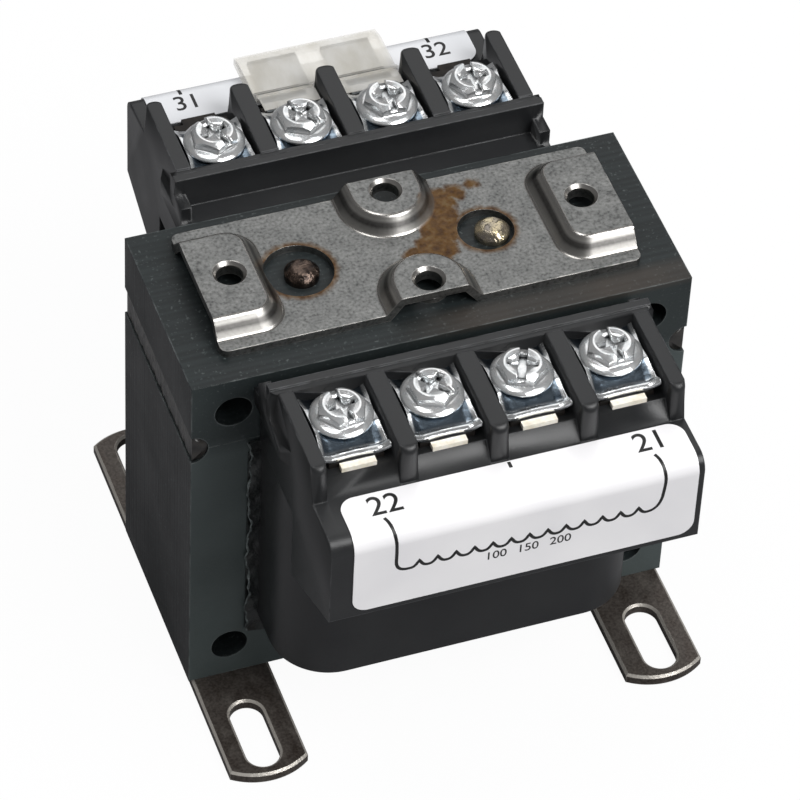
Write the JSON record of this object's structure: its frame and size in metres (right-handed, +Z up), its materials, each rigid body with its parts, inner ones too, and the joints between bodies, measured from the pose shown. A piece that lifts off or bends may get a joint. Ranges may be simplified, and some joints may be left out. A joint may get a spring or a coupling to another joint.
{
  "type": "laminated chassis transformer",
  "caption": "Laminated chassis power transformer with a welded core on slotted feet, a stamped top plate and a screw terminal block at the front and rear.",
  "frame": {"origin": "on the surface that the feet stand on, below the middle of the lamination stack", "axes": "+Z up through the core, +X along the long side of the core, -Y out of the front terminal block"},
  "size_m": [0.0762, 0.0973, 0.0702],
  "materials": {
    "varnished_steel": "varnish dipped silicon steel",
    "weld_steel": "varnished weld bead",
    "foot_steel": "varnished steel strip with worn edges",
    "plate_steel": "bare stamped steel with rust at the weld holes",
    "plate_weld": "weld nugget",
    "black_moulding": "satin black moulded plastic",
    "bobbin_nylon": "moulded nylon",
    "copper_winding": "enamelled copper wire",
    "insulation_paper": "insulation paper",
    "tinned_brass": "tinned",
    "zinc_steel": "bright zinc plating",
    "label_film": "gloss film",
    "clear_film": "clear film"
  },
  "bodies": {
    "root": {"e_lamination_stack": "varnished_steel", "i_lamination_stack": "varnished_steel", "left_joint_weld": "weld_steel", "right_joint_weld": "weld_steel", "left_foot": "foot_steel", "right_foot": "foot_steel", "top_mounting_plate": "plate_steel", "left_plate_weld": "plate_weld", "right_plate_weld": "plate_weld", "coil_bobbin": "bobbin_nylon", "secondary_winding": "copper_winding", "winding_paper": "insulation_paper", "primary_winding": "copper_winding", "coil_wrap": "insulation_paper", "left_window_liner": "insulation_paper", "right_window_liner": "insulation_paper", "jumper_sleeve": "clear_film", "jumper_link_1": "tinned_brass", "jumper_link_2": "tinned_brass", "front_coil_cover": "black_moulding", "front_terminal_block": "black_moulding", "front_terminal_screws": "zinc_steel", "front_label": "label_film", "front_terminal_plate_1": "tinned_brass", "front_saddle_clamp_1": "zinc_steel", "front_lead_wire_1": "copper_winding", "front_terminal_plate_2": "tinned_brass", "front_saddle_clamp_2": "zinc_steel", "front_lead_wire_2": "copper_winding", "front_terminal_plate_3": "tinned_brass", "front_saddle_clamp_3": "zinc_steel", "front_lead_wire_3": "copper_winding", "front_terminal_plate_4": "tinned_brass", "front_saddle_clamp_4": "zinc_steel", "front_lead_wire_4": "copper_winding", "rear_coil_cover": "black_moulding", "rear_terminal_block": "black_moulding", "rear_terminal_screws": "zinc_steel", "rear_label": "label_film", "rear_terminal_plate_1": "tinned_brass", "rear_saddle_clamp_1": "zinc_steel", "rear_lead_wire_1": "copper_winding", "rear_terminal_plate_2": "tinned_brass", "rear_saddle_clamp_2": "zinc_steel", "rear_lead_wire_2": "copper_winding", "rear_terminal_plate_3": "tinned_brass", "rear_saddle_clamp_3": "zinc_steel", "rear_lead_wire_3": "copper_winding", "rear_terminal_plate_4": "tinned_brass", "rear_saddle_clamp_4": "zinc_steel", "rear_lead_wire_4": "copper_winding"}
  },
  "joints": []
}
